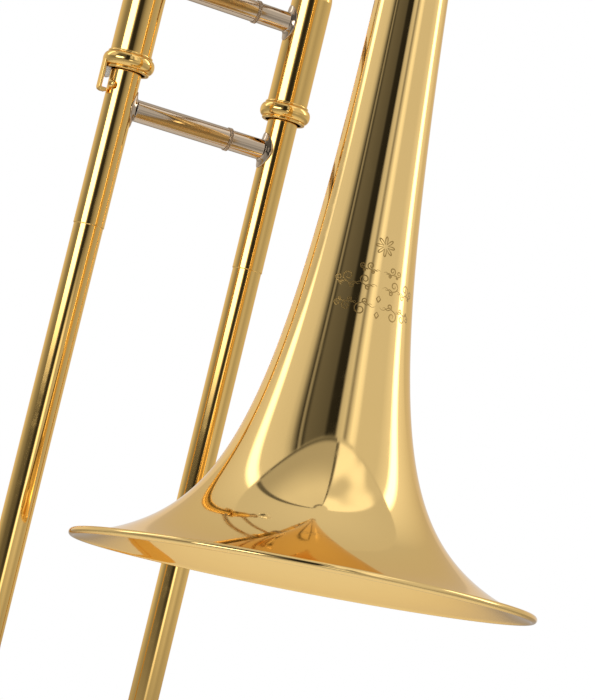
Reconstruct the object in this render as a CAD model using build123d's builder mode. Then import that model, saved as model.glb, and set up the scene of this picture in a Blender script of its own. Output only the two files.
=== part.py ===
from build123d import *
import math
import os

# A straight tenor trombone with its hand slide closed, in millimetres, +Z up.
# The slide tubes are vertical.  The bell-side slide tube N lies on the Z axis and the
# mouthpiece-side tube M beside it towards -X.  The origin is on N at the level of the
# lower bell brace, where a stand's padded fork holds the instrument.  The bell and the
# slide bow point down, and the bell stands off towards -Y.

# ---- Driving dimensions ------------------------------------------------------------

# Fits
solder_gap = 0.02        # between tubes that are soldered into each other
running_gap = 0.05       # radial, where one piece turns or slides on another
rest_gap = 0.3           # between faces that only meet when something closes
edge_easing = 0.6        # how much of a wall its rounded edge takes

# Hand slide
slide_spacing = 85.0     # axis of M to axis of N
slide_bore = 12.9
inner_wall = 0.225
stocking_thickness = 0.085
stocking_length = 125.0
stocking_gap = 0.07      # radial, stocking to outer slide tube
outer_wall = 0.37
oversleeve_wall = 0.28
inner_slide_length = 700.0
inner_slide_top = -48.3
outer_slide_top = -85.3
oversleeve_end = -194.1
sleeve_bead_height = 3.0
sleeve_bead_width = 0.8
sleeve_bead_shoulder = 0.9
slide_bow_level = -762.0
bow_wall = 0.5
bow_stub = 8.0
bow_ferrule_length = 14.0
bow_ferrule_wall = 1.1
bow_guard_angle = 84.0
bow_guard_wall = 0.7
bow_guard_start = 4.2    # how far outside the bow's centre line the guard begins

# Cork barrels and their rings
barrel_clearance = 0.8   # radial, from the outer slide's end bead to the barrel
barrel_wall = 0.9
barrel_top = -50.3
barrel_shoulder = 4.0
barrel_ring_level = -113.6
barrel_ring_height = 9.0
barrel_ring_collar = 1.1
barrel_ring_bead = 2.6
barrel_ring_bead_height = 6.6
cork_length = 9.0

# Slide braces
hand_brace_level = -69.8
outer_brace_level = -134.4
slide_brace_radius = 5.35
slide_brace_step = 0.25  # the telescoping half is this much thinner
slide_brace_joint = 0.72 # where along the brace, from M to N, the joint ring sits
joint_ring_width = 1.8
joint_ring_proud = 0.45
flange_height = 18.0
flange_width = 12.5
flange_wall = 0.8
flange_collar = 0.8
flange_collar_length = 3.2

# Mouthpiece end
mouth_receiver_top = -12.0
mouth_receiver_wall = 1.3
mouth_receiver_bead = 1.6
mouth_receiver_bead_height = 4.0
leadpipe_length = 220.0
leadpipe_lip = 0.23      # the leadpipe's wall at its mouth
venturi_step = 0.35      # the leadpipe narrows by this much past the shank
venturi_drop = 60.0
shank_depth = 26.0
shank_taper = 0.6
shank_wall = 0.45
mouthpiece_length = 82.0
mouthpiece_throat = 3.2
cup_depth = 24.0
cup_radius = 12.75
mouthpiece_rim_radius = 19.2
mouthpiece_rim_height = 5.5
rim_side_drop = 2.5
rim_bite_drop = 2.0
shank_collar = 6.0
throat_length = 6.0
bowl_wall = 2.6
bowl_shoulder_drop = 6.6 # rim top to where the bowl meets the rim
rim_crest_inset = 3.0    # rim's outside to its highest line
cup_waist_radius = 10.6
cup_waist_height = 9.1   # above the cup's bottom

# Slide lock and its stud
hook_drop = 16.5         # ring centre to the foot's underside
hook_inside = 11.0       # radius of the strip's inner face from M
hook_thickness = 1.4
hook_width = 5.2
foot_thickness = 1.8
foot_gap = 0.8           # foot to oversleeve
lock_pad_height = 5.0
lock_pad_width = 4.2
stud_angle = 215.0       # around M, counted from +X
stud_radius = 1.3
stud_head_radius = 1.8
stud_head_thickness = 1.6
stud_standoff = 1.2

# Slide receiver, tenon and lock nut
receiver_top = -29.0
receiver_wall = 2.6
tenon_length = 16.0
tenon_wall = 0.65
tenon_taper = 0.4
tenon_collar = 1.2
tenon_collar_height = 3.0
nut_thread_gap = 0.1
nut_wall = 1.6
nut_skirt = 12.0         # how far the nut reaches down over the receiver
nut_web = 2.7
nut_grip_count = 24
nut_grip_radius = 0.55

# Bell section, in its own canted frame
neck_bend_level = -14.0
bell_cant = 6.0          # degrees, so that the rim stands clear of the slide
neck_to_bell = 106.2
rim_drop = 329.3         # below the neck bend, along the bell's axis
neck_wall = 0.5
neck_bend_radius = 100.0
neck_straight = 6.0      # above the bend, before the pipe begins to widen

# Bell flare: radius = rim_radius * (1 + height / horn_offset) ** -horn_power
rim_radius = 102.0
horn_offset = 18.81
horn_power = 0.6765
bell_wall = 0.5
bell_length = 515.0
bell_points = 22
bead_radius = 1.65
bead_lift = 1.3
wire_radius = 1.0

# Tuning slide
leg_wall = 0.5
neck_leg_step = 0.65     # the inner leg on the neck side is this much wider than the neck
leg_fit = 0.05           # radial, outer leg inside the pipe below it
outer_leg_length = 74.0
leg_insertion = 62.0
leg_lap = 8.0            # how far an outer leg sits inside the pipe below it
leg_band_height = 6.0
leg_band_wall = 0.9
pipe_ferrule_height = 20.0
pipe_ferrule_wall = 0.9
tuning_gap = 1.5         # band to ferrule, slide pushed home
tuning_ferrule_height = 14.0
tuning_ferrule_wall = 1.1
tuning_brace_radius = 3.4
tuning_bow_step = 20     # degrees between the bow's sections
tuning_guard_angle = 76.0
tuning_guard_wall = 0.7
tuning_guard_spread = 50.0
tuning_guard_sections = 5

# Bell braces
bell_brace_radius = 4.0
lower_brace_height = 14.0
upper_brace_height = 150.0
brace_knuckle_radius = 5.6
brace_knuckle_length = 9.0
knuckle_easing = 0.9     # how much of the knuckle's step its rounded edge takes

# Bumper
bumper_cup_radius = 6.8
bumper_cup_wall = 1.1
bumper_cup_height = 9.0
bumper_stem_radius = 3.4
bumper_stem_length = 2.4
bumper_proud = 4.5
bumper_edge = 1.6

# Water key
key_angle = 45.0         # how far round the bow the lever aims
key_pivot_reach = 17.0   # nipple to pivot
key_touch_reach = 42.0
nipple_radius = 3.2
nipple_bore = 1.5
nipple_height = 10.5
key_cork_thickness = 2.0
key_cork_radius = 3.4
key_cup_wall = 0.8
key_cup_top = 1.6
key_bar_width = 4.4
key_bar_thickness = 2.0
key_pivot_height = 12.0
key_barrel_radius = 2.6
key_barrel_length = 9.0
key_screw_radius = 1.2
key_screw_head_radius = 2.2
key_screw_head_thickness = 1.0
key_post_thickness = 1.8
key_post_width = 6.0
key_post_top = 15.0
key_base_height = 8.6
key_touch_length = 13.0
key_touch_width = 9.0
key_spring_wire = 0.3
key_spring_turns = 2
key_spring_pitch = 0.78

# ---- Derived sizes -----------------------------------------------------------------



def bell_radius(height):
    """The bell's outer radius at a height above its rim."""
    return rim_radius * (1 + height / horn_offset) ** -horn_power


inner_bore_radius = slide_bore / 2
inner_radius = inner_bore_radius + inner_wall
stocking_radius = inner_radius + stocking_thickness
outer_bore_radius = stocking_radius + stocking_gap
outer_radius = outer_bore_radius + outer_wall
oversleeve_radius = outer_radius + solder_gap + oversleeve_wall
bow_radius = outer_bore_radius + bow_wall
bow_sweep = slide_spacing / 2
barrel_bore_radius = oversleeve_radius + sleeve_bead_width + barrel_clearance
barrel_radius = barrel_bore_radius + barrel_wall
barrel_ring_bottom = barrel_ring_level - barrel_ring_height / 2
shank_bottom = mouth_receiver_top - shank_depth
shank_mouth_radius = inner_bore_radius - solder_gap - leadpipe_lip - running_gap
shank_end_radius = shank_mouth_radius - shank_taper
mouth_receiver_radius = inner_radius + solder_gap + mouth_receiver_wall
neck_radius = inner_bore_radius + neck_wall
tenon_end_radius = neck_radius + solder_gap + tenon_wall
tenon_mouth_radius = tenon_end_radius + tenon_taper
receiver_radius = tenon_mouth_radius + receiver_wall
neck_leg_radius = neck_radius + neck_leg_step
bell_leg_radius = bell_radius(bell_length) - bell_wall - leg_fit - leg_wall - running_gap
neck_outer_leg_bore = neck_leg_radius + running_gap
neck_outer_leg_radius = neck_outer_leg_bore + leg_wall
bell_outer_leg_bore = bell_leg_radius + running_gap
bell_outer_leg_radius = bell_outer_leg_bore + leg_wall
pipe_top = bell_length - rim_drop
outer_leg_foot = pipe_top - leg_lap
outer_leg_top = outer_leg_foot + outer_leg_length
tuning_ferrule_foot = outer_leg_top + tuning_gap
tuning_bow_level = tuning_ferrule_foot + tuning_ferrule_height
tuning_leg_top = tuning_ferrule_foot + tuning_ferrule_height / 2
tuning_leg_length = tuning_leg_top - outer_leg_top + leg_insertion
tuning_sweep = neck_to_bell / 2
bow_guard_radius = bow_radius + solder_gap + bow_guard_wall
bow_bottom = slide_bow_level - bow_sweep - bow_guard_radius

# ---- Frames ------------------------------------------------------------------------


def side_plane(origin, outward, up):
    """A plane through a tube's axis: x is the distance from the axis, y runs along it."""
    return Plane(origin=origin, x_dir=outward, z_dir=Vector(outward).cross(Vector(up)))


bell_frame = Plane((0, 0, neck_bend_level)).rotated((0, 0, -90)).rotated((-bell_cant, 0, 0))


def bell_point(across, height):
    """A point in the bell section's middle plane, measured from the neck's axis."""
    return bell_frame.origin + bell_frame.x_dir * across + bell_frame.z_dir * height


m_foot = Plane((-slide_spacing, 0, 0))
n_foot = Plane.XY
m_side = side_plane((-slide_spacing, 0, 0), (1, 0, 0), (0, 0, 1))
n_side = side_plane((0, 0, 0), (-1, 0, 0), (0, 0, 1))
neck_side = side_plane(bell_point(0, 0), bell_frame.x_dir, bell_frame.z_dir)
bell_side = side_plane(bell_point(neck_to_bell, 0), -bell_frame.x_dir, bell_frame.z_dir)
bell_foot = Plane(bell_point(neck_to_bell, 0), x_dir=bell_frame.x_dir, z_dir=bell_frame.z_dir)
bow_centre = Vector(-bow_sweep, 0, slide_bow_level)
bumper_side = side_plane((-bow_sweep, 0, 0), (1, 0, 0), (0, 0, 1))

# ---- Shared ways of making a piece -------------------------------------------------

os.makedirs("parts", exist_ok=True)


def save(piece, label):
    """Name a finished piece and write its STEP file."""
    piece.part.label = label
    export_step(piece.part, f"parts/{label}.step")


def tube(label, foot, start, length, outer, inner):
    """A plain round tube that stands on a foot plane."""
    with BuildPart() as piece:
        with BuildSketch(foot.offset(start)):
            Circle(outer)
            Circle(inner, mode=Mode.SUBTRACT)
        extrude(amount=length)
    save(piece, label)


def turned(label, side, outline):
    """A piece turned about a tube's axis from an outline of (radius, height) corners."""
    with BuildPart() as piece:
        with BuildSketch(side):
            with BuildLine():
                Polyline(*outline, close=True)
            make_face()
        revolve(axis=Axis(side.origin, side.y_dir))
    save(piece, label)


def add_cone(side, level, radius_below, radius_above, mode):
    """A cone on a tube's axis that has the given radii half a flange below and above."""
    taper = (radius_above - radius_below) / 2
    low = level - flange_height
    high = level + flange_height
    with BuildPart(mode=Mode.PRIVATE) as cone:
        with BuildSketch(side):
            with BuildLine():
                Polyline((0, low), (radius_below - taper, low), (radius_above + taper, high),
                         (0, high), close=True)
            make_face()
        revolve(axis=Axis(side.origin, side.y_dir))
    add(cone.part, mode=mode)


def add_flange(side, level, radius_below, radius_above, brace_radius):
    """A leaf-shaped saddle on a tube, with a collar that takes a brace."""
    crown = max(radius_below, radius_above) + solder_gap + flange_wall
    outer = flange_wall + solder_gap
    brace_foot = Plane(side.origin + side.y_dir * level, x_dir=side.y_dir, z_dir=side.x_dir)
    with BuildPart(mode=Mode.PRIVATE) as flange:
        with BuildSketch(brace_foot):
            Ellipse(flange_height / 2, flange_width / 2)
        extrude(amount=2 * crown)
        add_cone(side, level, radius_below + outer, radius_above + outer, Mode.INTERSECT)
        with BuildSketch(brace_foot.offset(crown / 2)):
            Circle(brace_radius + solder_gap + flange_collar)
            Circle(brace_radius + solder_gap, mode=Mode.SUBTRACT)
        extrude(amount=crown / 2 + flange_collar_length)
        rim = flange.edges().filter_by(GeomType.CIRCLE).group_by(Axis(side.origin, side.x_dir))[-1]
        fillet(rim.sort_by(SortBy.RADIUS)[-1], flange_collar * edge_easing)
        add_cone(side, level, radius_below + solder_gap, radius_above + solder_gap, Mode.SUBTRACT)
    add(flange.part)


def brace_reach(radius_below, radius_above):
    """Where a brace's end meets its flange, from the tube's axis."""
    return max(radius_below, radius_above) + solder_gap + flange_wall + solder_gap


def slide_brace(name, level, tube_radius):
    """A two-part brace between the slide tubes: flanges, both halves and the joint ring."""
    reach = brace_reach(tube_radius, tube_radius)
    length = slide_spacing - 2 * reach
    joint = length * slide_brace_joint
    foot = Plane((reach - slide_spacing, 0, level), z_dir=(1, 0, 0))
    thin = slide_brace_radius - slide_brace_step
    with BuildPart() as flanges:
        add_flange(m_side, level, tube_radius, tube_radius, slide_brace_radius)
        add_flange(n_side, level, tube_radius, tube_radius, thin)
    save(flanges, f"{name}_flanges")
    tube(f"{name}_tube", foot, 0, joint, slide_brace_radius, slide_brace_radius - flange_wall)
    tube(f"{name}_sleeve", foot, joint, length - joint, thin, thin - flange_wall)
    with BuildPart() as ring:
        with BuildSketch(foot.offset(joint)):
            Circle(slide_brace_radius + joint_ring_proud)
            Circle(thin + solder_gap, mode=Mode.SUBTRACT)
        extrude(amount=joint_ring_width)
        outside = ring.edges().filter_by(GeomType.CIRCLE).group_by(SortBy.RADIUS)[-1]
        fillet(outside, joint_ring_proud)
    save(ring, f"{name}_ring")


# ---- Hand slide, inner half --------------------------------------------------------

inner_slide_foot = inner_slide_top - inner_slide_length
stocking_top = inner_slide_foot + stocking_length
inner_outline = [
    (inner_bore_radius, inner_slide_foot),
    (stocking_radius, inner_slide_foot),
    (stocking_radius, stocking_top),
    (inner_radius, stocking_top + stocking_thickness),
    (inner_radius, inner_slide_top),
    (inner_bore_radius, inner_slide_top),
]
barrel_outline = [
    (barrel_bore_radius, barrel_ring_bottom),
    (barrel_radius, barrel_ring_bottom),
    (barrel_radius, barrel_top - barrel_shoulder),
    (barrel_radius - barrel_wall, barrel_top),
    (inner_radius + solder_gap, barrel_top),
    (inner_radius + solder_gap, barrel_top - barrel_shoulder),
    (barrel_bore_radius, barrel_top - barrel_shoulder),
]
for letter, side in (("m", m_side), ("n", n_side)):
    turned(f"inner_tube_{letter}", side, inner_outline)
    turned(f"cork_barrel_{letter}", side, barrel_outline)


def add_barrel_ring(side, bore):
    """The ring at a barrel's open end: a round bead between two narrow collars."""
    half = barrel_ring_height / 2
    bead_half = barrel_ring_bead_height / 2
    collar = barrel_radius + barrel_ring_collar
    with BuildPart(mode=Mode.PRIVATE) as ring:
        with BuildSketch(side):
            with BuildLine():
                Polyline((collar, barrel_ring_level + bead_half), (collar, barrel_ring_level + half),
                         (bore, barrel_ring_level + half), (bore, barrel_ring_level - half),
                         (collar, barrel_ring_level - half), (collar, barrel_ring_level - bead_half))
                ThreePointArc((collar, barrel_ring_level - bead_half),
                              (barrel_radius + barrel_ring_bead, barrel_ring_level),
                              (collar, barrel_ring_level + bead_half))
            make_face()
        revolve(axis=Axis(side.origin, side.y_dir))
    add(ring.part)


with BuildPart() as barrel_ring_n:
    add_barrel_ring(n_side, barrel_radius + solder_gap)
save(barrel_ring_n, "barrel_ring_n")

# A cork inside each barrel cushions the top of the outer slide.
with BuildPart() as barrel_corks:
    with BuildSketch(Plane.XY.offset(outer_slide_top + rest_gap)):
        with Locations((-slide_spacing, 0), (0, 0)):
            Circle(barrel_bore_radius - solder_gap)
            Circle(inner_radius + solder_gap, mode=Mode.SUBTRACT)
    extrude(amount=cork_length)
save(barrel_corks, "barrel_corks")

slide_brace("hand_brace", hand_brace_level, barrel_radius)

# Mouthpiece receiver, with the leadpipe inside it and down into the M tube.
leadpipe_radius = inner_bore_radius - solder_gap
socket_mouth = shank_mouth_radius + running_gap
socket_end = shank_end_radius + running_gap
leadpipe_foot = mouth_receiver_top - leadpipe_length
leadpipe_outline = [
    (socket_mouth, mouth_receiver_top),
    (socket_end, shank_bottom),
    (socket_end - venturi_step, mouth_receiver_top - venturi_drop),
    (leadpipe_radius - inner_wall, leadpipe_foot),
    (leadpipe_radius, leadpipe_foot),
    (leadpipe_radius, mouth_receiver_top),
]
turned("leadpipe", m_side, leadpipe_outline)
receiver_bead_foot = mouth_receiver_top - mouth_receiver_bead_height
mouth_receiver_outline = [
    (inner_radius + solder_gap, barrel_top + solder_gap),
    (barrel_radius - barrel_wall, barrel_top + solder_gap),
    (mouth_receiver_radius, barrel_top + barrel_shoulder),
    (mouth_receiver_radius, receiver_bead_foot),
    (mouth_receiver_radius + mouth_receiver_bead, receiver_bead_foot + mouth_receiver_bead / 2),
    (mouth_receiver_radius + mouth_receiver_bead, mouth_receiver_top - mouth_receiver_bead / 2),
    (mouth_receiver_radius, mouth_receiver_top),
    (inner_bore_radius, mouth_receiver_top),
    (inner_bore_radius, inner_slide_top + solder_gap),
    (inner_radius + solder_gap, inner_slide_top + solder_gap),
]
turned("mouthpiece_receiver", m_side, mouth_receiver_outline)

# Slide receiver on top of the N tube: a threaded socket for the bell section's tenon.
tenon_top = receiver_top
tenon_foot = tenon_top - tenon_length
receiver_outline = [
    (inner_radius + solder_gap, barrel_top + solder_gap),
    (receiver_radius, barrel_top + solder_gap),
    (receiver_radius, receiver_top),
    (tenon_mouth_radius + running_gap, receiver_top),
    (tenon_end_radius + running_gap, tenon_foot - rest_gap),
    (inner_bore_radius, tenon_foot - rest_gap),
    (inner_bore_radius, inner_slide_top + solder_gap),
    (inner_radius + solder_gap, inner_slide_top + solder_gap),
]
turned("slide_receiver", n_side, receiver_outline)

# ---- Mouthpiece --------------------------------------------------------------------

mouthpiece_top = shank_bottom + mouthpiece_length
cup_bottom = mouthpiece_top - cup_depth
with BuildPart() as mouthpiece:
    with BuildSketch(m_side):
        with BuildLine():
            shank = Polyline((shank_end_radius - shank_wall, shank_bottom), (shank_end_radius, shank_bottom),
                             (shank_mouth_radius, mouth_receiver_top),
                             (shank_mouth_radius, mouth_receiver_top + shank_collar))
            bowl = Spline(shank @ 1, (shank_mouth_radius + bowl_wall / 3, cup_bottom - throat_length),
                          (cup_radius, cup_bottom + cup_depth / 3),
                          (cup_radius + bowl_wall, mouthpiece_top - bowl_shoulder_drop))
            shoulder = Line(bowl @ 1, (mouthpiece_rim_radius, mouthpiece_top - mouthpiece_rim_height))
            rim_side = Line(shoulder @ 1, (mouthpiece_rim_radius, mouthpiece_top - rim_side_drop))
            rim_top = ThreePointArc(rim_side @ 1, (mouthpiece_rim_radius - rim_crest_inset, mouthpiece_top),
                                    (cup_radius, mouthpiece_top - rim_bite_drop))
            cup = Spline(rim_top @ 1, (cup_waist_radius, cup_bottom + cup_waist_height),
                         (mouthpiece_throat, cup_bottom))
            Polyline(cup @ 1, (mouthpiece_throat, cup_bottom - throat_length), shank @ 0)
        make_face()
    revolve(axis=Axis(m_side.origin, m_side.y_dir))
save(mouthpiece, "mouthpiece")

# ---- Slide lock --------------------------------------------------------------------

hook_foot = barrel_ring_level - hook_drop
hook_middle = hook_inside + hook_thickness / 2
foot_reach = hook_inside + hook_thickness - oversleeve_radius - foot_gap
foot_middle = hook_inside + hook_thickness - foot_reach / 2
with BuildPart() as slide_lock_ring:
    add_barrel_ring(m_side, barrel_radius + running_gap)
    with BuildSketch(m_foot.offset(hook_foot)):
        with Locations((-hook_middle, 0)):
            Rectangle(hook_thickness, hook_width)
    extrude(amount=hook_drop + barrel_ring_height / 4)
    with BuildSketch(m_foot.offset(hook_foot)):
        with Locations((-foot_middle, 0)):
            Rectangle(foot_reach, hook_width)
    extrude(amount=foot_thickness)
save(slide_lock_ring, "slide_lock_ring")

pad_reach = hook_inside - solder_gap - oversleeve_radius - foot_gap
with BuildPart() as slide_lock_pad:
    pad_foot = barrel_ring_level - barrel_ring_height / 2 - solder_gap
    with BuildSketch(m_foot.offset(pad_foot)):
        with Locations((-(hook_inside - solder_gap - pad_reach / 2), 0)):
            Rectangle(pad_reach, lock_pad_width)
    extrude(amount=-lock_pad_height)
save(slide_lock_pad, "slide_lock_pad")

# ---- Hand slide, outer half --------------------------------------------------------

outer_tube_foot = slide_bow_level + bow_stub
for letter, foot in (("m", m_foot), ("n", n_foot)):
    tube(f"outer_tube_{letter}", foot, outer_tube_foot, outer_slide_top - outer_tube_foot,
         outer_radius, outer_bore_radius)

sleeve_outline = [
    (outer_radius + solder_gap, oversleeve_end),
    (oversleeve_radius - oversleeve_wall / 2, oversleeve_end),
    (oversleeve_radius, oversleeve_end + oversleeve_wall),
    (oversleeve_radius, outer_slide_top - sleeve_bead_height),
    (oversleeve_radius + sleeve_bead_width, outer_slide_top - sleeve_bead_height + sleeve_bead_shoulder),
    (oversleeve_radius + sleeve_bead_width, outer_slide_top - sleeve_bead_shoulder),
    (oversleeve_radius, outer_slide_top),
    (outer_radius + solder_gap, outer_slide_top),
]
for letter, side in (("m", m_side), ("n", n_side)):
    turned(f"oversleeve_{letter}", side, sleeve_outline)

slide_brace("outer_brace", outer_brace_level, oversleeve_radius)

# The water key's frame: x from the nipple along the lever, z straight out of the bow.
key_direction = Vector(math.sin(math.radians(key_angle)), 0, 1 - math.cos(math.radians(key_angle)))
key_frame = Plane(bow_centre - Vector(0, 0, bow_sweep), x_dir=key_direction.normalized(), z_dir=(0, -1, 0))
bow_torus = Location(bow_centre, (90, 0, 0))

with BuildPart() as slide_bow:
    with BuildSketch(Plane.XY.offset(slide_bow_level)):
        with Locations((-slide_spacing, 0)):
            Circle(bow_radius)
            Circle(outer_bore_radius, mode=Mode.SUBTRACT)
    revolve(axis=Axis(bow_centre, (0, -1, 0)), revolution_arc=180)
    with BuildSketch(Plane.XY.offset(slide_bow_level)):
        with Locations((-slide_spacing, 0), (0, 0)):
            Circle(bow_radius)
            Circle(outer_bore_radius, mode=Mode.SUBTRACT)
    extrude(amount=bow_stub - solder_gap)
    with BuildSketch(key_frame):
        Circle(nipple_bore)
    extrude(amount=2 * bow_radius, mode=Mode.SUBTRACT)
save(slide_bow, "slide_bow")

ferrule_foot = outer_tube_foot - bow_ferrule_length / 2
with BuildPart() as slide_bow_ferrules:
    with BuildSketch(Plane.XY.offset(ferrule_foot)):
        with Locations((-slide_spacing, 0), (0, 0)):
            Circle(bow_radius + solder_gap + bow_ferrule_wall)
            Circle(bow_radius + solder_gap, mode=Mode.SUBTRACT)
    extrude(amount=bow_ferrule_length)
    outside = slide_bow_ferrules.edges().filter_by(GeomType.CIRCLE).group_by(SortBy.RADIUS)[-1]
    fillet(outside, bow_ferrule_wall * edge_easing)
save(slide_bow_ferrules, "slide_bow_ferrules")

# The guard is a thin shell over the outer side of the bow.
guard_start = math.radians(-90 - bow_guard_angle / 2)
guard_plane = Plane(bow_centre, x_dir=(math.cos(guard_start), 0, math.sin(guard_start)),
                    z_dir=(-math.sin(guard_start), 0, math.cos(guard_start)))
with BuildPart() as slide_bow_guard:
    with BuildSketch(guard_plane):
        with Locations((bow_sweep, 0)):
            Circle(bow_guard_radius)
            Circle(bow_guard_radius - bow_guard_wall, mode=Mode.SUBTRACT)
        with Locations((bow_sweep + bow_guard_start + bow_guard_radius / 2, 0)):
            Rectangle(bow_guard_radius, 2 * bow_guard_radius, mode=Mode.INTERSECT)
    revolve(axis=Axis(bow_centre, (0, -1, 0)), revolution_arc=bow_guard_angle)
save(slide_bow_guard, "slide_bow_guard")

cup_top = bow_bottom - bumper_stem_length
cup_foot = cup_top - bumper_cup_height
with BuildPart() as bumper_cup:
    with BuildSketch(bumper_side):
        with BuildLine():
            Polyline((0, bow_bottom + bumper_stem_length),
                     (bumper_stem_radius, bow_bottom + bumper_stem_length),
                     (bumper_stem_radius, cup_top), (bumper_cup_radius, cup_top - bumper_cup_wall),
                     (bumper_cup_radius, cup_foot), (bumper_cup_radius - bumper_cup_wall, cup_foot),
                     (bumper_cup_radius - bumper_cup_wall, cup_top - 2 * bumper_cup_wall),
                     (0, cup_top - 2 * bumper_cup_wall), close=True)
        make_face()
    revolve(axis=Axis(bumper_side.origin, bumper_side.y_dir))
    with Locations(bow_torus):
        Torus(bow_sweep, bow_guard_radius + solder_gap, mode=Mode.SUBTRACT)
save(bumper_cup, "bumper_cup")

with BuildPart() as bumper:
    with BuildSketch(Plane((-bow_sweep, 0, cup_foot - bumper_proud))):
        Circle(bumper_cup_radius - bumper_cup_wall - solder_gap)
    extrude(amount=bumper_cup_height + bumper_proud - 2 * bumper_cup_wall - solder_gap)
    fillet(bumper.edges().group_by(Axis.Z)[0], bumper_edge)
save(bumper, "bumper")

stud_direction = Vector(math.cos(math.radians(stud_angle)), math.sin(math.radians(stud_angle)), 0)
stud_level = hook_foot + foot_thickness + rest_gap + stud_head_radius
stud_foot = Plane((-slide_spacing, 0, stud_level), z_dir=stud_direction)
with BuildPart() as slide_lock_stud:
    with BuildSketch(stud_foot):
        Circle(stud_radius)
    extrude(amount=oversleeve_radius + stud_standoff)
    with BuildSketch(stud_foot.offset(oversleeve_radius + stud_standoff)):
        Circle(stud_head_radius)
    extrude(amount=stud_head_thickness)
    head_edges = slide_lock_stud.edges().filter_by(GeomType.CIRCLE).group_by(SortBy.RADIUS)[-1]
    fillet(head_edges.sort_by(Axis(stud_foot.origin, stud_direction))[-1], stud_head_thickness * edge_easing)
    with BuildSketch(m_foot.offset(stud_level - 2 * stud_head_radius)):
        Circle(oversleeve_radius + solder_gap)
    extrude(amount=4 * stud_head_radius, mode=Mode.SUBTRACT)
save(slide_lock_stud, "slide_lock_stud")

with BuildPart() as water_key_nipple:
    with BuildSketch(key_frame):
        Circle(nipple_radius)
        Circle(nipple_bore, mode=Mode.SUBTRACT)
    extrude(amount=nipple_height)
    with Locations(bow_torus):
        Torus(bow_sweep, bow_radius + solder_gap, mode=Mode.SUBTRACT)
save(water_key_nipple, "water_key_nipple")

pivot_frame = Plane(key_frame.from_local_coords((key_pivot_reach, 0, key_pivot_height)),
                    x_dir=key_frame.x_dir, z_dir=-key_frame.y_dir)
post_inside = key_barrel_length / 2 + rest_gap
post_middle = post_inside + key_post_thickness / 2
with BuildPart() as water_key_saddle:
    with BuildSketch(key_frame):
        with Locations((key_pivot_reach, 0)):
            Rectangle(key_post_width, 2 * (post_inside + key_post_thickness))
    extrude(amount=key_base_height)
    with BuildSketch(key_frame):
        with Locations((key_pivot_reach, post_middle), (key_pivot_reach, -post_middle)):
            Rectangle(key_post_width, key_post_thickness)
    extrude(amount=key_post_top)
    with BuildSketch(pivot_frame):
        Circle(key_screw_radius + solder_gap)
    extrude(amount=2 * key_barrel_length, both=True, mode=Mode.SUBTRACT)
    with Locations(bow_torus):
        Torus(bow_sweep, bow_radius + solder_gap, mode=Mode.SUBTRACT)
save(water_key_saddle, "water_key_saddle")

screw_half = post_inside + key_post_thickness
with BuildPart() as water_key_screw:
    with BuildSketch(pivot_frame.offset(-screw_half)):
        Circle(key_screw_radius)
    extrude(amount=2 * screw_half)
    with BuildSketch(pivot_frame.offset(screw_half + solder_gap)):
        Circle(key_screw_head_radius)
    extrude(amount=key_screw_head_thickness)
    with BuildSketch(pivot_frame.offset(screw_half)):
        Circle(key_screw_radius)
    extrude(amount=key_screw_head_thickness)
save(water_key_screw, "water_key_screw")

# ---- Water key ---------------------------------------------------------------------

key_cork_foot = nipple_height + solder_gap
key_cork_top = key_cork_foot + key_cork_thickness
key_cup_radius = key_cork_radius + solder_gap + key_cup_wall
bar_foot = key_cork_top + solder_gap
with BuildPart() as water_key_lever:
    with BuildSketch(key_frame.offset(key_cork_foot + key_cork_thickness / 2)):
        Circle(key_cup_radius)
        Circle(key_cork_radius + solder_gap, mode=Mode.SUBTRACT)
    extrude(amount=key_cork_thickness / 2 + solder_gap)
    with BuildSketch(key_frame.offset(bar_foot)):
        Circle(key_cup_radius)
    extrude(amount=key_cup_top)
    with BuildSketch(key_frame.offset(bar_foot)):
        with Locations((key_touch_reach / 2, 0)):
            Rectangle(key_touch_reach, key_bar_width)
        with Locations((key_touch_reach, 0)):
            Ellipse(key_touch_length / 2, key_touch_width / 2)
    extrude(amount=key_bar_thickness)
    with BuildSketch(pivot_frame.offset(-key_barrel_length / 2)):
        Circle(key_barrel_radius)
    extrude(amount=key_barrel_length)
    with BuildSketch(pivot_frame):
        Circle(key_screw_radius + running_gap)
    extrude(amount=key_barrel_length, both=True, mode=Mode.SUBTRACT)
save(water_key_lever, "water_key_lever")

with BuildPart() as water_key_cork:
    with BuildSketch(key_frame.offset(key_cork_foot)):
        Circle(key_cork_radius)
    extrude(amount=key_cork_thickness)
save(water_key_cork, "water_key_cork")

spring_radius = key_barrel_radius + key_spring_wire + running_gap
spring_start = pivot_frame.offset(key_bar_width / 2 + key_spring_wire + rest_gap)
with BuildPart() as water_key_spring:
    with BuildLine() as coil:
        Helix(key_spring_pitch, key_spring_pitch * key_spring_turns, spring_radius,
              center=spring_start.origin, direction=spring_start.z_dir)
    with BuildSketch(coil.line ^ 0):
        Circle(key_spring_wire)
    sweep(path=coil.line, is_frenet=True)
save(water_key_spring, "water_key_spring")

# ---- Bell --------------------------------------------------------------------------


def bell_skin(height, depth):
    """A point of the bell's section, a given depth under its outer surface."""
    radius = bell_radius(height)
    slope = -horn_power * radius / (height + horn_offset)
    lean = math.hypot(1, slope)
    return radius - depth / lean, height - rim_drop + depth * slope / lean


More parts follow.
